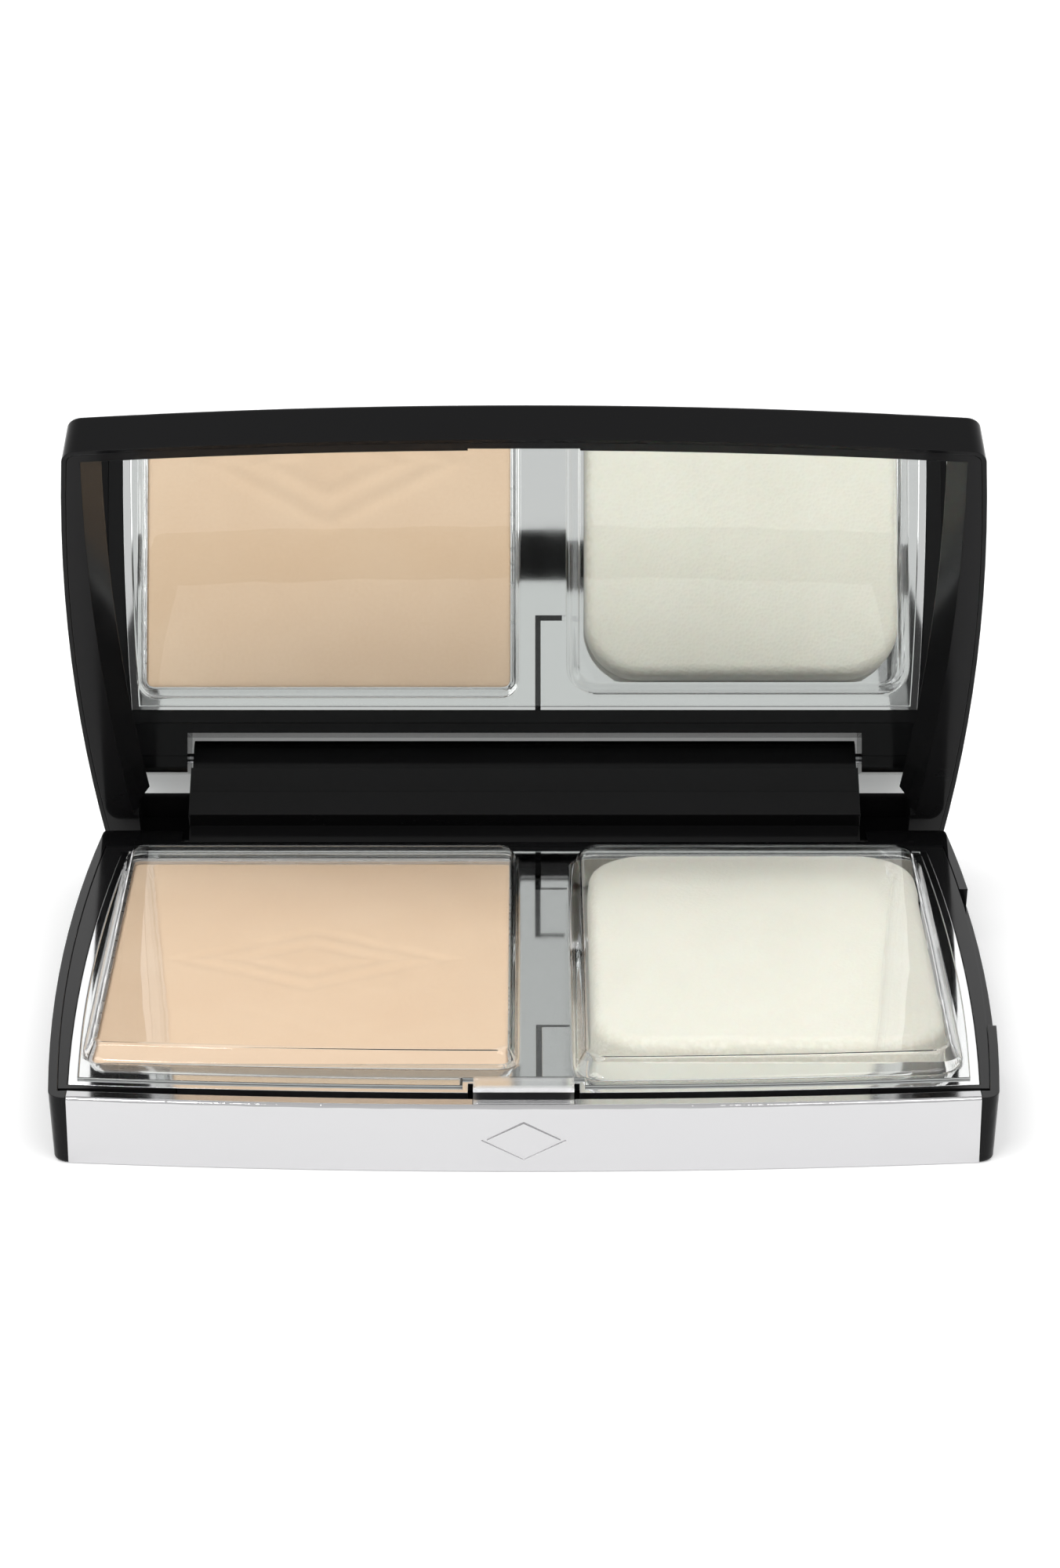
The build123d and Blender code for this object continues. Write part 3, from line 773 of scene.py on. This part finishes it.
# An even bright studio, a little dimmer overhead and brighter behind the object
sky_level = 0.75
sky_top = 0.69
rear_glow = 0.38
dimming = (0.5, 1.0)                # how steep a direction is where the dimming starts and ends
glowing = (0.35, 0.95)              # how far back it points where the glow starts and ends
world = bpy.data.worlds.new("studio")
world.use_nodes = True
sky_nodes = world.node_tree.nodes
sky_links = world.node_tree.links
sky_place = sky_nodes.new("ShaderNodeTexCoord")
sky_parts = sky_nodes.new("ShaderNodeSeparateXYZ")
sky_range = sky_nodes.new("ShaderNodeMapRange")
sky_range.inputs["From Min"].default_value = dimming[0]
sky_range.inputs["From Max"].default_value = dimming[1]
sky_range.inputs["To Min"].default_value = sky_level
sky_range.inputs["To Max"].default_value = sky_top
sky_links.new(sky_place.outputs["Generated"], sky_parts.inputs["Vector"])
sky_links.new(sky_parts.outputs["Z"], sky_range.inputs["Value"])
rear_range = sky_nodes.new("ShaderNodeMapRange")
rear_range.inputs["From Min"].default_value = glowing[0]
rear_range.inputs["From Max"].default_value = glowing[1]
rear_range.inputs["To Max"].default_value = rear_glow
sky_links.new(sky_parts.outputs["Y"], rear_range.inputs["Value"])
sky_sum = sky_nodes.new("ShaderNodeMath")
sky_links.new(sky_range.outputs["Result"], sky_sum.inputs[0])
sky_links.new(rear_range.outputs["Result"], sky_sum.inputs[1])
sky_links.new(sky_sum.outputs["Value"], sky_nodes["Background"].inputs["Strength"])
sky_nodes["Background"].inputs["Color"].default_value = (1.0, 1.0, 1.0, 1.0)
bpy.context.scene.world = world

camera_place = (0.66 * MM, -441.6 * MM, 207.6 * MM)
camera_pitch = 22.05
camera_lens = 98.77
camera_data = bpy.data.cameras.new("view")
camera_data.lens = camera_lens
camera_data.sensor_width = 36.0
camera_data.clip_start = 0.01
camera = bpy.data.objects.new("view", camera_data)
camera.location = camera_place
camera.rotation_euler = (math.radians(90.0 - camera_pitch), 0.0, 0.0)
bpy.context.scene.collection.objects.link(camera)
bpy.context.scene.camera = camera
bpy.context.scene.view_settings.view_transform = "Standard"
